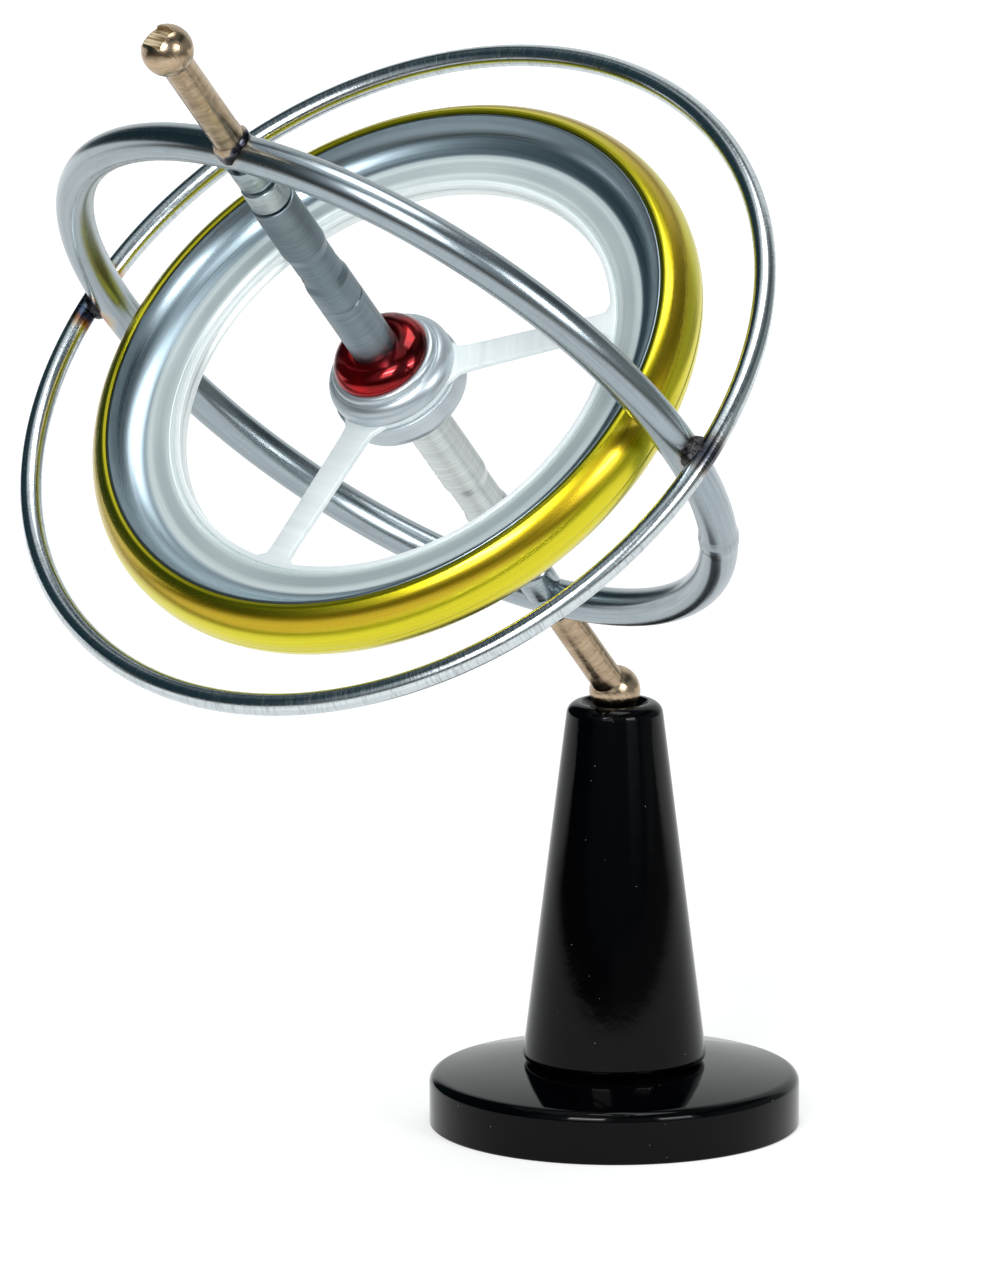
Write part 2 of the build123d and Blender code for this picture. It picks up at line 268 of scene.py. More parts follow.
# ------------------------------------------------------------------ material helpers
class Finish:
    """A node material whose coordinates are millimetres in the frame of the piece."""

    def __init__(self, name, where):
        self.material = bpy.data.materials.new(name)
        self.material.use_nodes = True
        self.tree = self.material.node_tree
        self.shader = self.tree.nodes["Principled BSDF"]
        seen = self.tree.nodes.new("ShaderNodeTexCoord")
        spot = self.tree.nodes.new("ShaderNodeMapping")
        spot.vector_type = "TEXTURE"
        location, rotation, scale = where.decompose()
        spot.inputs["Location"].default_value = location
        spot.inputs["Rotation"].default_value = rotation.to_euler()
        spot.inputs["Scale"].default_value = scale
        self.link(seen.outputs["Object"], spot.inputs["Vector"])
        self.mm = spot.outputs["Vector"]
        self.x, self.y, self.z = self.split(self.mm)
        self.r = self.length(self.x, self.y)
        safe = self.math("MAXIMUM", self.r, 1e-4)
        self.cos = self.math("DIVIDE", self.x, safe)
        self.sin = self.math("DIVIDE", self.y, safe)

    def link(self, source, socket):
        self.tree.links.new(source, socket)

    def fill(self, socket, value):
        if isinstance(value, bpy.types.NodeSocket):
            self.link(value, socket)
        else:
            socket.default_value = value

    def set(self, **values):
        for key, value in values.items():
            self.fill(self.shader.inputs[key.replace("_", " ")], value)
        return self

    def math(self, operation, a, b=None, c=None, clamp=False):
        node = self.tree.nodes.new("ShaderNodeMath")
        node.operation = operation
        node.use_clamp = clamp
        for socket, value in zip(node.inputs, (a, b, c)):
            if value is not None:
                self.fill(socket, value)
        return node.outputs[0]

    def times(self, a, b):
        return self.math("MULTIPLY", a, b)

    def length(self, a, b):
        return self.math("SQRT", self.math("ADD", self.times(a, a), self.times(b, b)))

    def off(self, value, middle):
        """How far a value is from the middle, either way."""
        return self.math("ABSOLUTE", self.math("SUBTRACT", value, middle))

    def weighed(self, one, share, two, other_share):
        return self.math("ADD", self.times(one, share), self.times(two, other_share))

    def split(self, vector):
        node = self.tree.nodes.new("ShaderNodeSeparateXYZ")
        self.link(vector, node.inputs[0])
        return node.outputs

    def join(self, x, y, z):
        node = self.tree.nodes.new("ShaderNodeCombineXYZ")
        for socket, value in zip(node.inputs, (x, y, z)):
            self.fill(socket, value)
        return node.outputs[0]

    def noise(self, vector, scale=1.0, detail=3.0, roughness=0.55, w=None):
        node = self.tree.nodes.new("ShaderNodeTexNoise")
        node.noise_dimensions = "3D" if w is None else "4D"
        self.link(vector, node.inputs["Vector"])
        if w is not None:
            self.fill(node.inputs["W"], w)
        node.inputs["Scale"].default_value = scale
        node.inputs["Detail"].default_value = detail
        node.inputs["Roughness"].default_value = roughness
        return node.outputs["Fac"]

    def range(self, value, low, high, to_low=0.0, to_high=1.0, soft=False):
        node = self.tree.nodes.new("ShaderNodeMapRange")
        node.interpolation_type = "SMOOTHSTEP" if soft else "LINEAR"
        self.fill(node.inputs["Value"], value)
        ends = {"From Min": low, "From Max": high, "To Min": to_low, "To Max": to_high}
        for key, number in ends.items():
            node.inputs[key].default_value = number
        return node.outputs["Result"]

    def ramp(self, value, stops):
        node = self.tree.nodes.new("ShaderNodeValToRGB")
        elements = node.color_ramp.elements
        while len(elements) < len(stops):
            elements.new(0.5)
        for element, (position, colour) in zip(elements, stops):
            element.position = position
            element.color = (*colour, 1.0)
        self.fill(node.inputs["Fac"], value)
        return node.outputs["Color"]

    def mix(self, factor, one, two, blend="MIX"):
        node = self.tree.nodes.new("ShaderNodeMix")
        node.data_type = "RGBA"
        node.blend_type = blend
        self.fill(node.inputs["Factor"], factor)
        for socket, value in ((node.inputs[6], one), (node.inputs[7], two)):
            self.fill(socket, (*value, 1.0) if isinstance(value, tuple) else value)
        return node.outputs[2]

    def bump(self, height, depth):
        """depth is how far height 1 stands above height 0, in millimetres."""
        node = self.tree.nodes.new("ShaderNodeBump")
        node.inputs["Strength"].default_value = 1.0
        node.inputs["Distance"].default_value = depth * MM
        self.link(height, node.inputs["Height"])
        if self.shader.inputs["Normal"].is_linked:
            self.link(self.shader.inputs["Normal"].links[0].from_socket, node.inputs["Normal"])
        self.link(node.outputs["Normal"], self.shader.inputs["Normal"])
        return self

    def turned(self, along, across, detail=3.0):
        """Noise drawn out round the axis, as a lathe leaves it: 0 to 1."""
        # r counts too, at another rate than z, so that flat faces are lined as well
        profile = self.math("ADD", self.z, self.times(self.r, 0.83))
        spot = self.join(
            self.times(self.cos, along),
            self.times(self.sin, along),
            self.times(profile, across),
        )
        return self.noise(spot, detail=detail)

    def wire(self, radius, size, along, across, detail=3.0):
        """Noise on a wire ring, along sets how fine it is round the ring and across how fine
        it is round the wire."""
        out = self.times(self.math("SUBTRACT", self.r, radius), across / size)
        up = self.times(self.z, across / size)
        spot = self.join(self.times(self.cos, along), self.times(self.sin, along), out)
        return self.noise(spot, detail=detail, w=up)

    def near(self, point, reach):
        """1 at a point given in millimetres, falling to 0 at reach."""
        node = self.tree.nodes.new("ShaderNodeVectorMath")
        node.operation = "DISTANCE"
        self.link(self.mm, node.inputs[0])
        node.inputs[1].default_value = point
        return self.range(node.outputs["Value"], 0.0, reach, 1.0, 0.0)


def from_ring(finish):
    """How far a point in the UPPER or LOWER frame is from the fat ring's surface, millimetres."""
    out = finish.math("SUBTRACT", finish.length(finish.x, finish.z), meridian_radius)
    return finish.math("SUBTRACT", finish.length(out, finish.y), meridian_wire)


def black_gloss(name):
    """Gloss black, polished, with a little dust and soft handling haze."""
    finish = Finish(name, STAND)
    haze = finish.noise(finish.mm, 0.35, 4.0)
    speck = finish.tree.nodes.new("ShaderNodeTexVoronoi")
    finish.link(finish.mm, speck.inputs["Vector"])
    speck.inputs["Scale"].default_value = 1.3
    dust = finish.math("LESS_THAN", speck.outputs["Distance"], 0.045)
    patch = finish.range(finish.noise(finish.mm, 0.25, 1.0), 0.56, 0.64)
    dust = finish.times(dust, patch)
    polish = finish.range(haze, 0.3, 0.8, 0.03, 0.085)
    finish.set(
        Base_Color=finish.mix(dust, (0.0006, 0.0007, 0.0011), (0.34, 0.35, 0.38)),
        Roughness=finish.math("ADD", polish, finish.times(dust, 0.5)),
        Specular_IOR_Level=0.12,
    )
    return finish.bump(finish.noise(finish.mm, 0.8, 2.0), 0.004).material


def ring_metal(name, where, radius, size, tints, colour, low, high, scratch, marks=()):
    """Drawn steel wire. tints are (point, reach, ramp) where heat has coloured it, marks are
    (point, reach) of ragged black marks."""

    def shade(share):
        return tuple(c * share for c in colour)

    finish = Finish(name, where)
    drawn = finish.wire(radius, size, 1.6, 5.0, 3.0)
    fine = finish.wire(radius, size, 5.0, 22.0, 2.0)
    cross = finish.wire(radius, size, 190.0, 0.7, 2.0)
    stain = finish.wire(radius, size, 9.0, 1.4, 3.0)
    lines = finish.weighed(drawn, 0.55, fine, 0.45)
    base = finish.mix(finish.range(lines, 0.36, 0.62), shade(0.72), colour)
    stained = finish.times(finish.range(stain, 0.56, 0.8), 0.4)
    base = finish.mix(stained, base, shade(0.55))
    wander = finish.times(finish.math("SUBTRACT", stain, 0.5), 0.9)
    for point, reach, ramp in tints:
        heat = finish.near(point, reach)
        heat = finish.math("ADD", heat, finish.times(wander, heat), clamp=True)
        base = finish.mix(finish.range(heat, 0.03, 0.3), base, finish.ramp(heat, ramp))
    ragged = finish.noise(finish.mm, 2.6, 4.0)
    for point, reach in marks:
        fray = finish.times(finish.math("SUBTRACT", ragged, 0.5), 1.6)
        spot = finish.math("ADD", finish.near(point, reach), fray)
        base = finish.mix(finish.range(spot, 0.5, 0.62), base, (0.03, 0.035, 0.04))
    scratches = finish.times(finish.range(cross, 0.52, 0.66), 0.35 * scratch)
    base = finish.mix(scratches, base, shade(0.4))
    worn = finish.times(finish.range(cross, 0.45, 0.7), scratch * 0.1)
    finish.set(
        Base_Color=base,
        Metallic=1.0,
        Roughness=finish.math("ADD", finish.range(lines, 0.34, 0.66, low, high), worn),
    )
    finish.bump(lines, 0.003 + 0.005 * scratch)
    return finish.bump(cross, 0.006 * scratch).material


# heat colours from the cool edge (0) to the weld (1): bright temper colours, and plain scorch
TEMPER = (
    (0.0, (0.56, 0.57, 0.57)),
    (0.16, (0.60, 0.42, 0.20)),
    (0.32, (0.36, 0.15, 0.06)),
    (0.48, (0.05, 0.10, 0.20)),
    (0.66, (0.035, 0.045, 0.06)),
    (1.0, (0.015, 0.014, 0.015)),
)
SCORCH = (
    (0.0, (0.54, 0.55, 0.55)),
    (0.25, (0.34, 0.32, 0.29)),
    (0.45, (0.12, 0.12, 0.13)),
    (0.65, (0.045, 0.05, 0.07)),
    (1.0, (0.015, 0.014, 0.015)),
)


def burnt(name, where):
    """Brazing metal and scale round a joint: near black, with greyer patches."""
    finish = Finish(name, where)
    crust = finish.noise(finish.mm, 1.6, 5.0)
    patch = finish.noise(finish.mm, 0.7, 2.0)
    stops = (
        (0.32, (0.010, 0.010, 0.011)),
        (0.5, (0.04, 0.037, 0.038)),
        (0.6, (0.07, 0.08, 0.10)),
        (0.74, (0.30, 0.29, 0.28)),
    )
    finish.set(
        Base_Color=finish.ramp(finish.weighed(crust, 0.5, patch, 0.5), stops),
        Metallic=0.85,
        Roughness=finish.range(crust, 0.3, 0.7, 0.24, 0.5),
    )
    return finish.bump(crust, 0.08).material


def nickel(name, where):
    """Warm plated stud and its weld: scorched in a thin line along the fat ring, and machined
    across on the floor of the slot."""
    finish = Finish(name, where)
    ground = finish.turned(0.6, 2.6, 3.0)
    speck = finish.noise(finish.mm, 1.8, 3.0)
    base = finish.mix(finish.range(ground, 0.32, 0.68), (0.33, 0.24, 0.155), (0.50, 0.385, 0.26))
    base = finish.mix(finish.times(finish.range(speck, 0.58, 0.74), 0.5), base, (0.16, 0.09, 0.05))
    gap = finish.math("ADD", from_ring(finish), finish.range(speck, 0.3, 0.7, -0.12, 0.12))
    burn = finish.range(gap, 0.16, 0.75, 1.0, 0.0)
    base = finish.mix(finish.range(burn, 0.1, 0.5), base, finish.ramp(burn, SCORCH))
    on_floor = finish.math("LESS_THAN", finish.off(finish.z, slot_floor), 0.06)
    inside = finish.math("LESS_THAN", finish.r, ball_radius - 0.17)
    milled = finish.times(on_floor, inside)
    drawn_out = finish.join(finish.times(finish.x, 0.5), finish.times(finish.y, 5.5), finish.z)
    stripes = finish.noise(drawn_out, 1.0, 2.0)
    gold = finish.mix(finish.range(stripes, 0.42, 0.58), (0.30, 0.19, 0.08), (0.80, 0.66, 0.44))
    base = finish.mix(milled, base, gold)
    rough = finish.range(ground, 0.3, 0.7, 0.17, 0.28)
    finish.set(
        Base_Color=base,
        Metallic=finish.range(milled, 0.0, 1.0, 1.0, 0.45),
        Roughness=finish.math("ADD", rough, finish.times(milled, 0.3)),
    )
    finish.bump(stripes, 0.02)
    finish.bump(speck, 0.008)
    return finish.bump(ground, 0.004).material


def turned_metal(
    name, dark, light, low, high,
    along=1.2, across=3.5, depth=0.01, coat=0.0, below=None, metal=1.0, painted_reflection=None,
):
    """Metal turned on a lathe: fine rings, drawn out round the axle, roughness low to high.
    below is a paler (dark, light) pair for the half of the piece under the flywheel; the last
    argument is a (height, reach, colour) band of painted reflection round the piece."""
    finish = Finish(name, UPPER)
    broad = finish.turned(along, across, 3.0)
    fine = finish.turned(along * 2, across * 4, 2.0)
    lines = finish.weighed(broad, 0.55, fine, 0.45)
    share = finish.range(lines, 0.35, 0.65)
    base = finish.mix(share, dark, light)
    if below:
        base = finish.mix(finish.range(finish.z, -1.5, -3.0), base, finish.mix(share, *below))
    if painted_reflection:
        height, reach, colour = painted_reflection
        # painted reflection: a band of the given colour round the piece at one height, standing in
        # for a reflection of the surroundings
        reflection_share = finish.range(finish.off(finish.z, height), reach, 0.2, soft=True)
        base = finish.mix(finish.times(reflection_share, 0.75), base, colour)
    finish.set(
        Base_Color=base,
        Metallic=metal,
        Roughness=finish.range(lines, 0.35, 0.65, low, high),
        Anisotropic=0.35,
        Coat_Weight=coat,
        Coat_Roughness=0.12,
    )
    return finish.bump(lines, depth).material


def flywheel_metal(name):
    """Turned aluminium: a slate-coloured wall, darker towards the band, and a paler, satin
    ledge inside it."""
    finish = Finish(name, UPPER)
    broad = finish.turned(0.5, 1.6, 3.0)
    fine = finish.turned(1.2, 7.0, 2.0)
    lines = finish.weighed(broad, 0.55, fine, 0.45)
    share = finish.range(lines, 0.35, 0.65)
    ledge = finish.range(finish.r, 21.5, 21.1, soft=True)
    wall = finish.mix(share, (0.32, 0.42, 0.47), (0.44, 0.54, 0.60))
    wall = finish.mix(finish.range(finish.r, 22.5, 23.3, soft=True), wall, (0.21, 0.26, 0.29))
    satin = finish.mix(share, (0.58, 0.67, 0.67), (0.80, 0.86, 0.85))
    # a darker turned ring between the ledge's outer half and its lip, deeper in places
    ring = finish.range(finish.off(finish.r, 20.1), 0.75, 0.3, soft=True)
    round_about = finish.join(finish.times(finish.cos, 0.7), finish.times(finish.sin, 0.7), 0.0)
    patchy = finish.noise(round_about, detail=2.0)
    ring = finish.times(ring, finish.range(patchy, 0.35, 0.6, 0.25, 0.8))
    satin = finish.mix(ring, satin, (0.36, 0.43, 0.44))
    lip = finish.range(finish.r, 19.2, 18.9, soft=True)
    satin = finish.mix(lip, satin, (0.84, 0.89, 0.88))
    rough = finish.range(lines, 0.35, 0.65, 0.26, 0.36)
    finish.set(
        Base_Color=finish.mix(ledge, wall, satin),
        Metallic=finish.range(ledge, 0.0, 1.0, 1.0, 0.5),
        Roughness=finish.math("ADD", rough, finish.times(ledge, 0.10)),
        Anisotropic=0.35,
    )
    return finish.bump(lines, 0.003).material


def red_lacquer(name):
    """Deep red lacquer over polished metal."""
    finish = Finish(name, UPPER)
    swirl = finish.turned(0.7, 0.8, 2.0)
    cloud = finish.noise(finish.mm, 0.4, 2.0)
    shade = finish.weighed(swirl, 0.5, cloud, 0.5)
    share = finish.range(shade, 0.35, 0.65)
    finish.set(
        Base_Color=finish.mix(share, (0.04, 0.0002, 0.0008), (0.40, 0.002, 0.005)),
        Metallic=0.9,
        Roughness=finish.range(shade, 0.35, 0.65, 0.12, 0.18),
        Coat_Weight=0.25,
        Coat_Roughness=0.03,
    )
    return finish.bump(cloud, 0.02).material


# ------------------------------------------------------------------ finishes
black = black_gloss("black_gloss")
right_end, left_end = (equator_radius, 0.0, 0.0), (-equator_radius, 0.0, 0.0)
equator_steel = ring_metal(
    "equator_steel", UPPER, equator_radius, equator_wire,
    [(right_end, 2.4, SCORCH), (left_end, 3.8, TEMPER)],
    (0.66, 0.72, 0.74), 0.11, 0.2, 1.3,
)
ring_ends = [((ring_outside, 0.0, 0.0), 2.0, SCORCH), ((-ring_outside, 0.0, 0.0), 2.8, TEMPER)]
ring_poles = [((0.0, ring_outside, 0.0), 2.5, SCORCH), ((0.0, -ring_outside, 0.0), 2.3, SCORCH)]
smudge = radians(76)
ring_marks = [((ring_outside * cos(smudge), ring_outside * sin(smudge), 0.0), 2.4)]
meridian_steel = ring_metal(
    "meridian_steel", RING, meridian_radius, meridian_wire, ring_ends + ring_poles,
    (0.37, 0.43, 0.46), 0.2, 0.28, 0.2, ring_marks,
)
weld_metal = burnt("burnt_weld", UPPER)
studs = {
    "upper": nickel("upper_nickel", UPPER),
    "lower": nickel("lower_nickel", LOWER),
}
bearing_steel = turned_metal(
    "bearing_steel", (0.34, 0.40, 0.42), (0.50, 0.55, 0.57), 0.26, 0.36, depth=0.003,
)
boss_steel = turned_metal(
    "boss_steel", (0.24, 0.29, 0.31), (0.40, 0.46, 0.48), 0.18, 0.28, depth=0.003,
)
axle_steel = turned_metal(
    "axle_steel", (0.165, 0.205, 0.23), (0.25, 0.30, 0.33), 0.34, 0.44,
    along=0.35, across=7.0, depth=0.003,
    below=((0.46, 0.50, 0.49), (0.70, 0.74, 0.73)),
)
aluminium = turned_metal(
    "satin_aluminium", (0.42, 0.47, 0.50), (0.54, 0.60, 0.63), 0.32, 0.42,
    along=0.4, across=3.0, depth=0.002, metal=0.8,
)
spun_aluminium = flywheel_metal("spun_aluminium")
spoke_aluminium = turned_metal(
    "spoke_aluminium", (0.72, 0.78, 0.78), (0.82, 0.87, 0.87), 0.42, 0.5,
    along=0.3, across=0.6, depth=0.001, metal=0.3,
)
# the yellow band carries a brown-orange band of painted reflection near its upper edge
yellow = turned_metal(
    "yellow_anodised", (0.58, 0.52, 0.012), (0.72, 0.65, 0.018), 0.24, 0.34,
    along=0.5, across=1.8, depth=0.002, coat=0.3,
    painted_reflection=(1.8, 1.0, (0.46, 0.28, 0.010)),
)
red = red_lacquer("hub_red")

# ------------------------------------------------------------------ pedestal
base_radius, base_side, crown = 14.8, 4.2, 5.15
column_foot, column_neck, column_top = 7.4, 3.75, 34.5
dish_mouth, dish_depth, dish_steps = 2.7, 1.25, 12
pedestal_turns = 256

disc_path = rounded([
    (0, 0),
    (base_radius, 0, 0.22),
    (base_radius, base_side, 0.9),
    (column_foot, crown),
    (0, crown),
])
disc = lathe("base_disc_turned", disc_path, pedestal_turns)
put(disc, STAND, "pedestal", "base_disc", black)

dish_radius = (dish_mouth ** 2 + dish_depth ** 2) / (2 * dish_depth)
dish_reach = acos(1 - dish_depth / dish_radius)
dish = []
for step in range(dish_steps + 1):
    angle = dish_reach * step / dish_steps
    height = column_top - dish_depth + dish_radius * (1 - cos(angle))
    dish.append((dish_radius * sin(angle), height))
column_corners = [
    (dish_mouth, column_top),
    (column_neck, column_top, 1.0),
    (column_foot, crown, 0.7),
    (0, crown),
]
column_side = rounded(column_corners, 12)
column = lathe("stand_column_turned", dish + column_side[1:], pedestal_turns)
put(column, STAND, "column", "stand_column", black)


# ------------------------------------------------------------------ rings
seam_half, seam_rise = 2.2, 0.1
seam_line, seam_line_depth = (1.35, 1.75), 0.05


def seam_swell(angle):
    """The butt seam stands slightly proud, with a fine line near each end of it (degrees)."""
    off = abs((angle - seam_angle + 180) % 360 - 180)
    if off > seam_half:
        return 0.0
    line = seam_line_depth if seam_line[0] < off < seam_line[1] else 0.0
    return seam_rise * (1 - (off / seam_half) ** 4) - line


equator = torus("equator_ring_wire", equator_radius, equator_wire, 512, 32)
put(equator, UPPER, "gyro_frame", "equator_ring", equator_steel, 60)
meridian = torus("meridian_ring_wire", meridian_radius, meridian_wire, 720, 48, seam_swell)
put(meridian, RING, "gyro_frame", "meridian_ring", meridian_steel, 60)


def ball(name, radius, centre, stretch=(1, 1, 1)):
    shaped = bmesh.new()
    bmesh.ops.create_icosphere(shaped, subdivisions=5, radius=radius)
    mesh = bpy.data.meshes.new(name)
    shaped.to_mesh(mesh)
    shaped.free()
    for v in mesh.vertices:
        scaled = Vector((v.co.x * stretch[0], v.co.y * stretch[1], v.co.z * stretch[2]))
        v.co = Vector(centre) + scaled
    obj = bpy.data.objects.new(name, mesh)
    bpy.context.scene.collection.objects.link(obj)
    return obj


crossing_radius, crossing_reach, crossing_stretch = 1.27, 30.65, (1, 1.12, 1.0)
for seed, (side, way) in enumerate((("right", 1), ("left", -1)), 1):
    spot = (way * crossing_reach, 0, 0)
    bead = ball(f"crossing_weld_{side}_bead", crossing_radius, spot, crossing_stretch)
    roughened(bead, 0.55, 0.16, seed)
    put(bead, UPPER, "gyro_frame", f"crossing_weld_{side}", weld_metal, 80)

# ------------------------------------------------------------------ studs, welds and bearings
slot_turn, slot_reach, slot_half = radians(-7.6), 0.9, 1.0
past_ball, past_top = -7, slot_floor + 4
weld_bore, weld_lip = 1.2, 1.32
boss_radius = 1.55
cup_back, cup_front = 1.65, 1.7
cone_end, cone_floor = 0.16, 24.5
ball_steps, small_turns = 40, 96
for seed, (end, where) in enumerate((("upper", UPPER), ("lower", LOWER)), 3):
    ball_arc = []
    lowest = acos(shank_radius / ball_radius)
    for step in range(ball_steps + 1):
        angle = -lowest + (lowest + pi / 2) * step / ball_steps
        ball_arc.append((ball_radius * cos(angle), ball_height + ball_radius * sin(angle)))
    ball_arc[-1] = (0.0, ball_height + ball_radius)
    foot = ring_inside + 0.6
    stud_path = [(0, foot), (shank_radius, foot)] + ball_arc
    stud = lathe(f"{end}_pivot_stud_turned", stud_path, small_turns)
    cutter = block("slot", (past_ball, -slot_half, slot_floor), (slot_reach, slot_half, past_top))
    cutter.data.transform(Matrix.Rotation(slot_turn, 4, "Z"))
    cut_away(stud, cutter)
    soften(stud, 0.09, 3, 42)
    put(stud, where, "gyro_frame", f"{end}_pivot_stud", studs[end], 40)

    skirt, bead_radius, bead_top = ring_outside - 1.2, shank_radius + 0.25, ring_outside + 0.4
    bead = [
        (weld_bore, skirt),
        (bead_radius, skirt),
        (bead_radius, ring_outside, 0.15),
        (weld_lip, bead_top),
        (weld_bore, bead_top - 0.1),
    ]
    collar = lathe(f"{end}_stud_weld_bead", rounded(bead), small_turns)
    roughened(collar, 0.6, 0.05, seed)
    put(collar, where, "gyro_frame", f"{end}_stud_weld", studs[end], 80)

    boss_top = ring_inside + 0.5
    boss_path = rounded([
        (0, boss_end),
        (boss_radius, boss_end, 0.7),
        (boss_radius, boss_top, 0.1),
        (0, boss_top),
    ])
    boss = lathe(f"{end}_bearing_boss_turned", boss_path, small_turns)
    put(boss, where, "gyro_frame", f"{end}_bearing_boss", boss_steel)
    cup_top = boss_end + 0.02
    cup_path = rounded([
        (0, cup_top),
        (cup_back, cup_top, 0.12),
        (cup_front, cup_end, 0.16),
        (cone_mouth, cup_end, 0.06),
        (cone_end, cone_floor),
        (0, cone_floor),
    ])
    cup = lathe(f"{end}_bearing_cup_turned", cup_path, small_turns)
    put(cup, where, "gyro_frame", f"{end}_bearing_cup", bearing_steel)

# ------------------------------------------------------------------ axle
waist_start, waist_stop, waist_ease = (12.9, 13.7), (16.5, 17.3), 0.4
tip_radius = 0.1
groove_low, groove_middle, groove_high, groove_depth = 10.29, 10.4, 10.51, 0.07
hole_radius, hole_height, hole_turn, drill_reach = 0.5, 14.5, radians(60), 3

half_axle = [
    (waist_radius, waist_start[1], waist_ease),
    (waist_radius, waist_stop[0], waist_ease),
    (axle_radius, waist_stop[1], waist_ease),
    (axle_radius, axle_end, 0.15),
    (cone_mouth, axle_end),
    (tip_radius, axle_tip),
    (0, axle_tip),
]
lower_half = [(corner[0], -corner[1], *corner[2:]) for corner in reversed(half_axle)]
groove = [
    (axle_radius, groove_low),
    (axle_radius - groove_depth, groove_middle),
    (axle_radius, groove_high),
]
above_waist = [(axle_radius, waist_start[0], waist_ease)]
below_waist = [(axle_radius, -waist_start[0], waist_ease)]
axle_path = rounded(lower_half + below_waist + groove + above_waist + half_axle)
axle = lathe("axle_turned", axle_path, 128)
drill_path = [
    (0, -drill_reach),
    (hole_radius, -drill_reach),
    (hole_radius, drill_reach),
    (0, drill_reach),
]
drill = lathe("drill", drill_path, 48)
through = Matrix.Rotation(hole_turn, 4, "Z") @ Matrix.Rotation(pi / 2, 4, "Y")
drill.data.transform(Matrix.Translation((0, 0, hole_height)) @ through)
cut_away(axle, drill)
soften(axle, 0.05, 2, 60)
put(axle, UPPER, "rotor", "axle", axle_steel, 30)

# ------------------------------------------------------------------ hub
bore = axle_radius + 0.02
web_bottom, web_top = -0.2, 0.3
hub_radius, hub_bottom = 5.35, -2.8
collar_radius, collar_foot = 5.15, web_top + 0.08
shoulder, neck_radius, collar_top = 2.0, 4.4, 2.6
cap_radius, cap_top = 3.98, 4.2

body_corners = [
    (bore, web_bottom),
    (hub_radius, web_bottom, 0.12),
    (hub_radius, hub_bottom, 1.3),
    (bore, hub_bottom),
]
body_path = rounded(body_corners, 12)
put(lathe("hub_body_turned", body_path), UPPER, "rotor", "hub_body", aluminium)
collar_path = rounded([(bore, web_top), (5.08, web_top, 0.05), (collar_radius, collar_foot)])[:-1]
collar_path += bowed((collar_radius, collar_foot), (4.55, shoulder - 0.04), -0.3, 20)
collar_path += rounded([
    (4.52, shoulder),
    (neck_radius, shoulder, 0.05),
    (neck_radius, collar_top, 0.4),
    (bore, collar_top),
])
put(lathe("hub_collar_turned", collar_path), UPPER, "rotor", "hub_collar", aluminium)
cap_path = rounded([(bore, collar_top), (cap_radius, collar_top, 0.1), (cap_radius, 2.93)])
cap_path += bowed((cap_radius, 2.95), (bore, cap_top), -0.45, 24)
put(lathe("hub_cap_turned", cap_path), UPPER, "rotor", "hub_cap", red)

# ------------------------------------------------------------------ flywheel
rim_bore, rim_outside, rim_top, rim_bottom = 18.4, 23.8, 2.6, -2.9
ledge_top, ledge_bottom, ledge_lip = 0.45, -0.95, 19.3
wheel_turns = 384
spoke_root, spoke_tip, window_inner, window_outer = 1.2, 0.95, 4.98, 18.55
corner_reach, corner_depth, spoke_steps = 0.9, 0.55, 12
web_radius, web_softness = 18.9, 0.06

rim_path = rounded([
    (21.75, ledge_bottom),
    (rim_bore, ledge_bottom, 0.12),
    (rim_bore, -0.6, 0.15),
    (ledge_lip, ledge_top, 0.12),
    (21.2, ledge_top),
])
# the hollow wall from the ledge up to the rim's edge, and the shallower hollow underneath
rim_path += bowed((21.3, ledge_top), (23.55, rim_top), -0.42, 24)
rim_path += rounded([
    (23.58, rim_top),
    (rim_outside, rim_top, 0.15),
    (rim_outside, rim_bottom, 0.06),
    (23.55, rim_bottom),
])
rim_path += bowed((23.52, -2.88), (21.78, -1.0), -0.3, 16)
rim = lathe("flywheel_rim", rim_path, wheel_turns)


def spoke_side(angle, side):
    """One side of a spoke from the hub outwards, its corners eased into the windows' ends."""
    along = Vector((cos(angle), sin(angle)))
    across = Vector((-sin(angle), cos(angle))) * side
    length = window_outer - window_inner
    points = []
    for step in range(spoke_steps + 1):
        reach = window_inner + length * (0.04 + 0.92 * step / spoke_steps)
        half = spoke_root + (spoke_tip - spoke_root) * (reach - window_inner) / length
        from_hub = 1 - (reach - window_inner) / corner_reach
        from_rim = 1 - (window_outer - reach) / corner_reach
        flare = max(0.0, from_hub, from_rim)
        points.append(along * reach + across * (half + corner_depth * flare * flare))
    return points


def arc(radius, first, last, steps):
    angles = [first + (last - first) * i / steps for i in range(steps + 1)]
    return [Vector((radius * cos(a), radius * sin(a))) for a in angles]


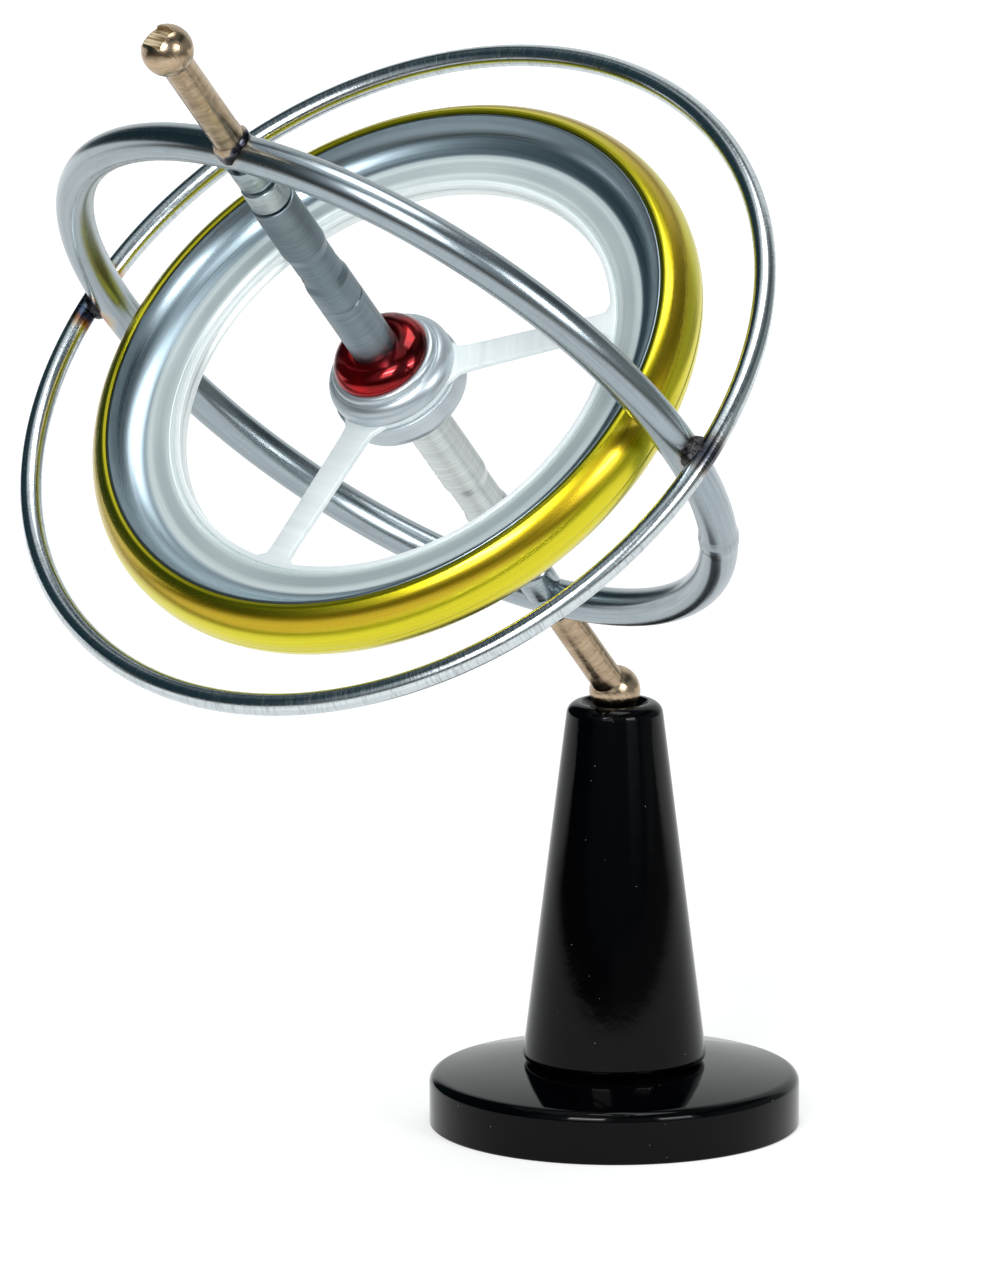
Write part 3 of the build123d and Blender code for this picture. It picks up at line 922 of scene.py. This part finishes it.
def web(name, low, high):
    """Hub plate and three spokes as one sheet, with softened edges."""
    curve = bpy.data.curves.new(name, "CURVE")
    curve.dimensions = "2D"
    curve.fill_mode = "BOTH"
    curve.extrude = (high - low) / 2 - web_softness
    curve.bevel_depth = web_softness
    curve.bevel_resolution = 2
    outlines = [arc(radius, 0, 2 * pi, 128)[:-1] for radius in (web_radius, bore + web_softness)]
    for spoke in range(3):
        first = radians(30 + 120 * spoke)
        last = first + radians(120)
        outer_trim = (spoke_tip + corner_reach) / window_outer
        inner_trim = (spoke_root + corner_reach) / window_inner
        points = arc(window_outer, first + outer_trim, last - outer_trim, 32)
        points += reversed(spoke_side(last, -1))
        points += arc(window_inner, last - inner_trim, first + inner_trim, 32)
        points += spoke_side(first, 1)
        outlines.append(points)
    for points in outlines:
        spline = curve.splines.new("POLY")
        spline.points.add(len(points) - 1)
        for point, spot in zip(spline.points, points):
            point.co = (spot.x, spot.y, 0, 1)
        spline.use_cyclic_u = True
    drawn = bpy.data.objects.new(name, curve)
    bpy.context.scene.collection.objects.link(drawn)
    seen = drawn.evaluated_get(bpy.context.evaluated_depsgraph_get())
    mesh = bpy.data.meshes.new_from_object(seen)
    bpy.data.objects.remove(drawn)
    mesh.transform(Matrix.Translation((0, 0, (low + high) / 2)))
    made = bpy.data.objects.new(name, mesh)
    bpy.context.scene.collection.objects.link(made)
    return made


put(rim, UPPER, "rotor", "flywheel", spun_aluminium)
put(web("flywheel_web", web_bottom, web_top), UPPER, "rotor", "flywheel", spoke_aluminium)

band_bore, band_edge, band_top, band_bottom, band_bulge = 23.82, 24.2, 2.7, -3.0, 1.7
line_height, line_half, line_depth = -0.8, 0.1, 0.06
edge_points = 6


def lined(point):
    """A point of the band's side, sunk where the fine turned line runs round it."""
    share = max(0.0, 1 - abs(point.y - line_height) / line_half)
    return point + Vector((-line_depth * share, 0))


bulging = bowed((band_edge, band_top), (band_edge, band_bottom), band_bulge, 64)
band_side = [lined(point) for point in bulging]
# the first points of the bulge give way to a round on the band's upper edge
band_path = rounded([(band_bore, rim_top), (band_edge, band_top, 0.6), band_side[edge_points]])
band_path += band_side[edge_points + 1:] + [(band_bore, rim_bottom)]
put(lathe("rim_band_turned", band_path, wheel_turns), UPPER, "rotor", "rim_band", yellow)

# ------------------------------------------------------------------ camera, at the photo's view
view_azimuth = radians(-53.84)
view_elevation = radians(12.02)
view_distance = 1.5
pivot_right, pivot_down = 0.009146, 0.003754
focal_pixels, photo_height = 18835.32, 1286
sensor = 36.0
level = cos(view_elevation)
ahead = Vector((-sin(view_azimuth) * level, cos(view_azimuth) * level, -sin(view_elevation)))
right = Vector((cos(view_azimuth), sin(view_azimuth), 0.0))
up = right.cross(ahead)
eye = pivot_point - right * pivot_right + up * pivot_down - ahead * view_distance
camera_data = bpy.data.cameras.new("camera")
camera_data.lens = focal_pixels * sensor / photo_height
camera_data.sensor_width = sensor
camera_data.clip_start = 0.05
camera_data.clip_end = 20.0
camera = bpy.data.objects.new("camera", camera_data)
camera.matrix_world = Matrix.Translation(eye) @ Matrix((right, up, -ahead)).transposed().to_4x4()
bpy.context.scene.collection.objects.link(camera)
bpy.context.scene.camera = camera

# ------------------------------------------------------------------ floor and light
level_ahead = Vector((ahead.x, ahead.y, 0)).normalized()


def shader_node(tree, kind, operation=None, **inputs):
    """Adds a node; an input is named, or given as i0, i1 ... by its place."""
    node = tree.nodes.new(kind)
    if operation:
        node.operation = operation
    for key, value in inputs.items():
        numbered = key[0] == "i" and key[1:].isdigit()
        socket = node.inputs[int(key[1:])] if numbered else node.inputs[key.replace("_", " ")]
        if isinstance(value, bpy.types.NodeSocket):
            tree.links.new(value, socket)
        else:
            socket.default_value = value
    return node


def way_to(azimuth, elevation):
    """A direction in degrees: azimuth 0 is towards the camera, 90 to its right, 180 behind."""
    turn, rise = radians(azimuth), radians(elevation)
    level_way = right * sin(turn) - level_ahead * cos(turn)
    return level_way * cos(rise) + Vector((0, 0, 1)) * sin(rise)


def ease(tree, value, start, stop, low=0.0, high=1.0):
    """Runs smoothly from low at start to high at stop."""
    ends = {"From_Min": start, "From_Max": stop, "To_Min": low, "To_Max": high}
    node = shader_node(tree, "ShaderNodeMapRange", Value=value, **ends)
    node.interpolation_type = "SMOOTHSTEP"
    return node.outputs[0]


def either(tree, one, other):
    return shader_node(tree, "ShaderNodeMath", "MAXIMUM", i0=one, i1=other).outputs[0]


def dot(tree, vector, direction):
    node = shader_node(
        tree, "ShaderNodeVectorMath", "DOT_PRODUCT", i0=vector, i1=tuple(direction),
    )
    return node.outputs["Value"]


def choice(tree, share, under, over):
    """Mixes two shader nodes: under at share 0, over at 1."""
    return shader_node(
        tree, "ShaderNodeMixShader", i0=share, i1=under.outputs[0], i2=over.outputs[0],
    )


def layer(tree, share, under, over):
    """Mixes two colours: under at share 0, over at 1."""
    node = shader_node(tree, "ShaderNodeMix")
    node.data_type = "RGBA"
    sockets = (node.inputs["Factor"], node.inputs[6], node.inputs[7])
    for socket, value in zip(sockets, (share, under, over)):
        if isinstance(value, bpy.types.NodeSocket):
            tree.links.new(value, socket)
        else:
            socket.default_value = value
    return node.outputs[2]


def floor_paint():
    """White, with the object's soft shadow near it. In the metal's reflections the white table
    fades out 0.17 to 0.34 m from the pedestal, but runs on behind it."""
    paint = bpy.data.materials.new("floor_white")
    paint.use_nodes = True
    tree = paint.node_tree
    tree.nodes.clear()
    seen = shader_node(tree, "ShaderNodeTexCoord").outputs["Object"]
    away = shader_node(tree, "ShaderNodeVectorMath", "LENGTH", i0=seen).outputs["Value"]
    glow = ease(tree, away, 0.05, 0.6, 0.58, 0.95)
    diffuse = shader_node(tree, "ShaderNodeBsdfDiffuse", Color=(0.86, 0.87, 0.88, 1))
    shaded = shader_node(tree, "ShaderNodeBsdfDiffuse", Color=(0.5, 0.5, 0.5, 1))
    lit = shader_node(tree, "ShaderNodeEmission", Color=(1, 1, 1, 1), Strength=glow)
    white = shader_node(tree, "ShaderNodeAddShader", i0=shaded.outputs[0], i1=lit.outputs[0])
    to_right = ease(tree, dot(tree, seen, right), -0.24, 0.1)
    shade = layer(tree, to_right, (0.045, 0.036, 0.025, 1), (0.20, 0.195, 0.175, 1))
    dim = shader_node(tree, "ShaderNodeEmission", Color=shade)
    close = ease(tree, away, 0.34, 0.17)
    behind = ease(tree, dot(tree, seen, level_ahead), 0.02, 0.14)
    mirrored = choice(tree, either(tree, close, behind), dim, white)
    path = shader_node(tree, "ShaderNodeLightPath")
    shiny = either(tree, path.outputs["Is Glossy Ray"], path.outputs["Is Transmission Ray"])
    other = choice(tree, shiny, diffuse, mirrored)
    which = choice(tree, path.outputs["Is Camera Ray"], other, white)
    out = shader_node(tree, "ShaderNodeOutputMaterial")
    tree.links.new(which.outputs[0], out.inputs["Surface"])
    return paint


floor_reach = 3
floor_corners = [
    (-floor_reach, -floor_reach, 0),
    (floor_reach, -floor_reach, 0),
    (floor_reach, floor_reach, 0),
    (-floor_reach, floor_reach, 0),
]
floor = new_object("floor", floor_corners, [(0, 1, 2, 3)])
floor.data.materials.append(floor_paint())

# where the two bright windows in front stand: azimuth and elevation, degrees
KEY_WAY, SIDE_WAY = (-18, 27), (41, 20)
# soft panels of the studio: azimuth, elevation, half width, half height and soft edge in
# degrees, then the colour
PANELS = (
    (0, 24, 52, 20, 22, (0.34, 0.38, 0.41)),
    (100, 5, 40, 25, 20, (0.30, 0.33, 0.33)),
    (-60, 66, 70, 8, 12, (0.80, 0.86, 0.90)),
    (95, 58, 45, 12, 16, (0.20, 0.21, 0.22)),
    (168, 12, 36, 44, 14, (0.90, 0.93, 0.93)),
    (*KEY_WAY, 14, 18, 8, (1.2, 1.25, 1.3)),
    (*SIDE_WAY, 13, 16, 8, (1.1, 1.15, 1.2)),
)


def world_light():
    """A dim teal room with soft pale panels, a pale ceiling and grey below. The camera itself
    sees plain white."""
    world = bpy.data.worlds.new("studio")
    world.use_nodes = True
    bpy.context.scene.world = world
    tree = world.node_tree
    tree.nodes.clear()
    way = shader_node(tree, "ShaderNodeTexCoord").outputs["Generated"]
    height = shader_node(tree, "ShaderNodeSeparateXYZ", i0=way).outputs[2]
    rise = shader_node(tree, "ShaderNodeMath", "ARCSINE", i0=height).outputs[0]

    def off(value, middle):
        gap = shader_node(tree, "ShaderNodeMath", "SUBTRACT", i0=value, i1=middle).outputs[0]
        return shader_node(tree, "ShaderNodeMath", "ABSOLUTE", i0=gap).outputs[0]

    def inside(value, half, edge):
        return ease(tree, value, radians(half + edge / 2), radians(half - edge / 2))

    colour = (0.018, 0.042, 0.052, 1)
    for azimuth, elevation, half_width, half_height, edge, shade in PANELS:
        sideways = dot(tree, way, way_to(azimuth + 90, 0))
        forward = dot(tree, way, way_to(azimuth, 0))
        side = shader_node(tree, "ShaderNodeMath", "ARCTAN2", i0=sideways, i1=forward).outputs[0]
        across = inside(off(side, 0.0), half_width, edge)
        along = inside(off(rise, radians(elevation)), half_height, edge)
        share = shader_node(tree, "ShaderNodeMath", "MULTIPLY", i0=across, i1=along).outputs[0]
        colour = layer(tree, share, colour, (*shade, 1))
    colour = layer(tree, ease(tree, rise, radians(66), radians(78)), colour, (0.95, 0.97, 1.0, 1))
    colour = layer(tree, ease(tree, height, 0.0, -0.06), colour, (0.3, 0.3, 0.29, 1))
    lit = shader_node(tree, "ShaderNodeBackground", Color=colour)
    plain = shader_node(tree, "ShaderNodeBackground", Color=(1, 1, 1, 1))
    camera_ray = shader_node(tree, "ShaderNodeLightPath").outputs["Is Camera Ray"]
    which = choice(tree, camera_ray, lit, plain)
    out = shader_node(tree, "ShaderNodeOutputWorld")
    tree.links.new(which.outputs[0], out.inputs["Surface"])


world_light()


def lamp(name, direction, distance, size, power):
    """A soft lamp facing the middle of the gyroscope, azimuth and elevation in degrees."""
    data = bpy.data.lights.new(name, "AREA")
    data.shape = "RECTANGLE"
    data.size, data.size_y = size
    data.energy = power
    way = way_to(*direction)
    obj = bpy.data.objects.new(name, data)
    facing = way.to_track_quat("Z", "Y").to_matrix().to_4x4()
    obj.matrix_world = Matrix.Translation(gyro_centre + way * distance) @ facing
    bpy.context.scene.collection.objects.link(obj)


# name, way, distance and size in metres, watts
LAMPS = (
    ("key_softbox", KEY_WAY, 0.9, (0.35, 0.46), 2.2),
    ("key_tube", KEY_WAY, 0.88, (0.33, 0.08), 2.7),
    ("side_softbox", SIDE_WAY, 0.9, (0.33, 0.42), 1.0),
    ("side_tube", SIDE_WAY, 0.88, (0.32, 0.07), 1.7),
    ("top_softbox", (60, 84), 0.8, (0.4, 0.4), 2.2),
)
for lamp_settings in LAMPS:
    lamp(*lamp_settings)

bpy.context.scene.view_settings.view_transform = "Standard"
